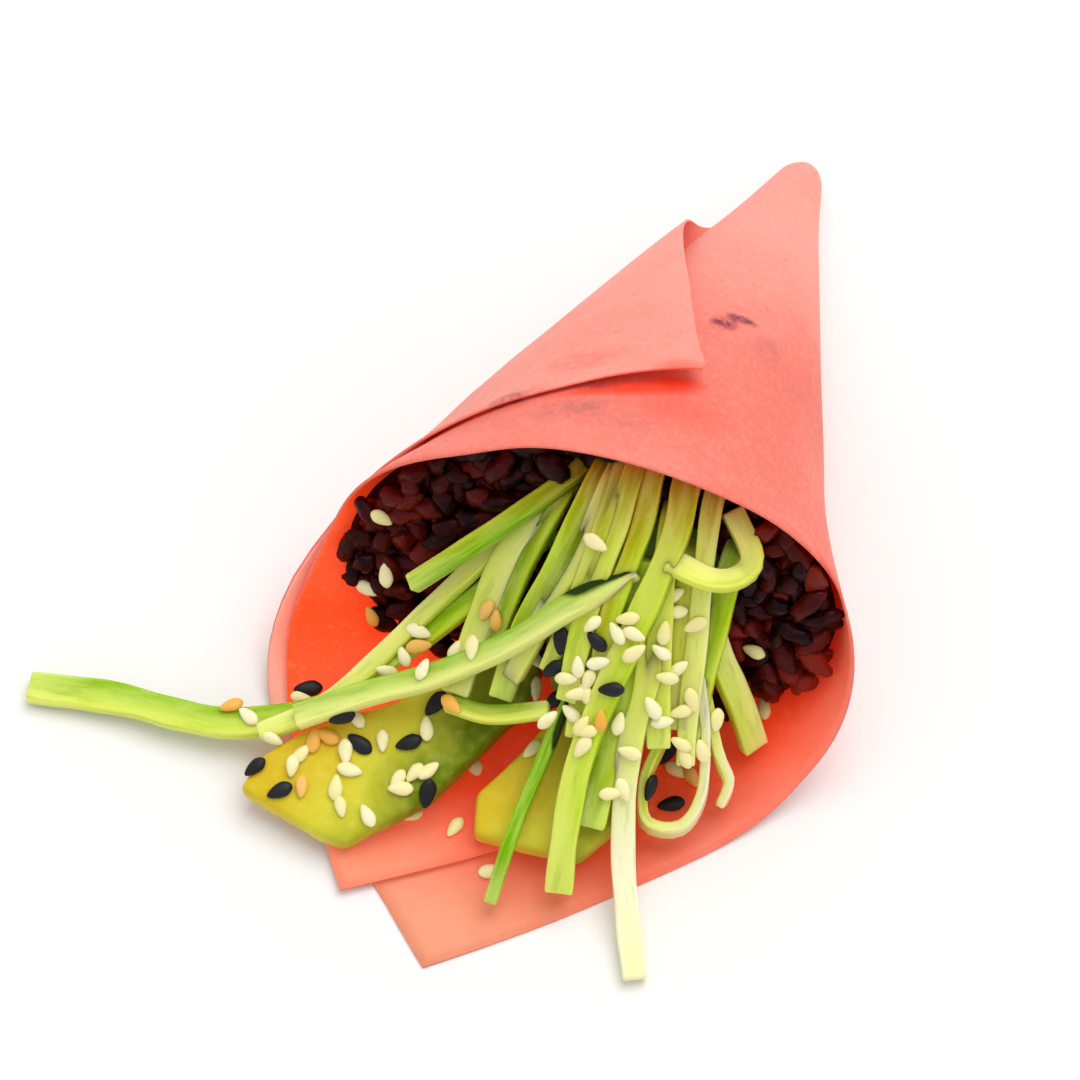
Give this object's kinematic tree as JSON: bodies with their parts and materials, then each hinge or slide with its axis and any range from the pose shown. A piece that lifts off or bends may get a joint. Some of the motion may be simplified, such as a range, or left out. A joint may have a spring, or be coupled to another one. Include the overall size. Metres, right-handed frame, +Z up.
{
  "type": "hand roll",
  "caption": "Cone-shaped vegetarian hand roll in coral soy paper, lying down, with dark rice, cucumber strips, avocado slices and sesame seeds spilling from its mouth.",
  "frame": {"origin": "middle of the bounding box's base, on the surface that the roll lies on", "axes": "+Y along the roll from its mouth to its point, +Z up, +X to the right seen from the mouth"},
  "size_m": [0.0862, 0.1096, 0.0397],
  "materials": {
    "soy_paper": "thin dry soy paper, coral outside and redder inside",
    "dark_rice": "moist dark red cooked rice",
    "cucumber": "moist pale green cut cucumber with sesame seeds",
    "avocado": "soft yellow to green avocado flesh",
    "sesame_white": "dry white and toasted sesame seeds",
    "sesame_black": "dry black sesame seeds"
  },
  "bodies": {
    "root": {"wrapper": "soy_paper", "rice": "dark_rice", "cucumber_bundle": "cucumber", "cucumber_strip_left": "cucumber", "avocado_slice_left": "avocado", "avocado_slice_right": "avocado"}
  },
  "joints": []
}
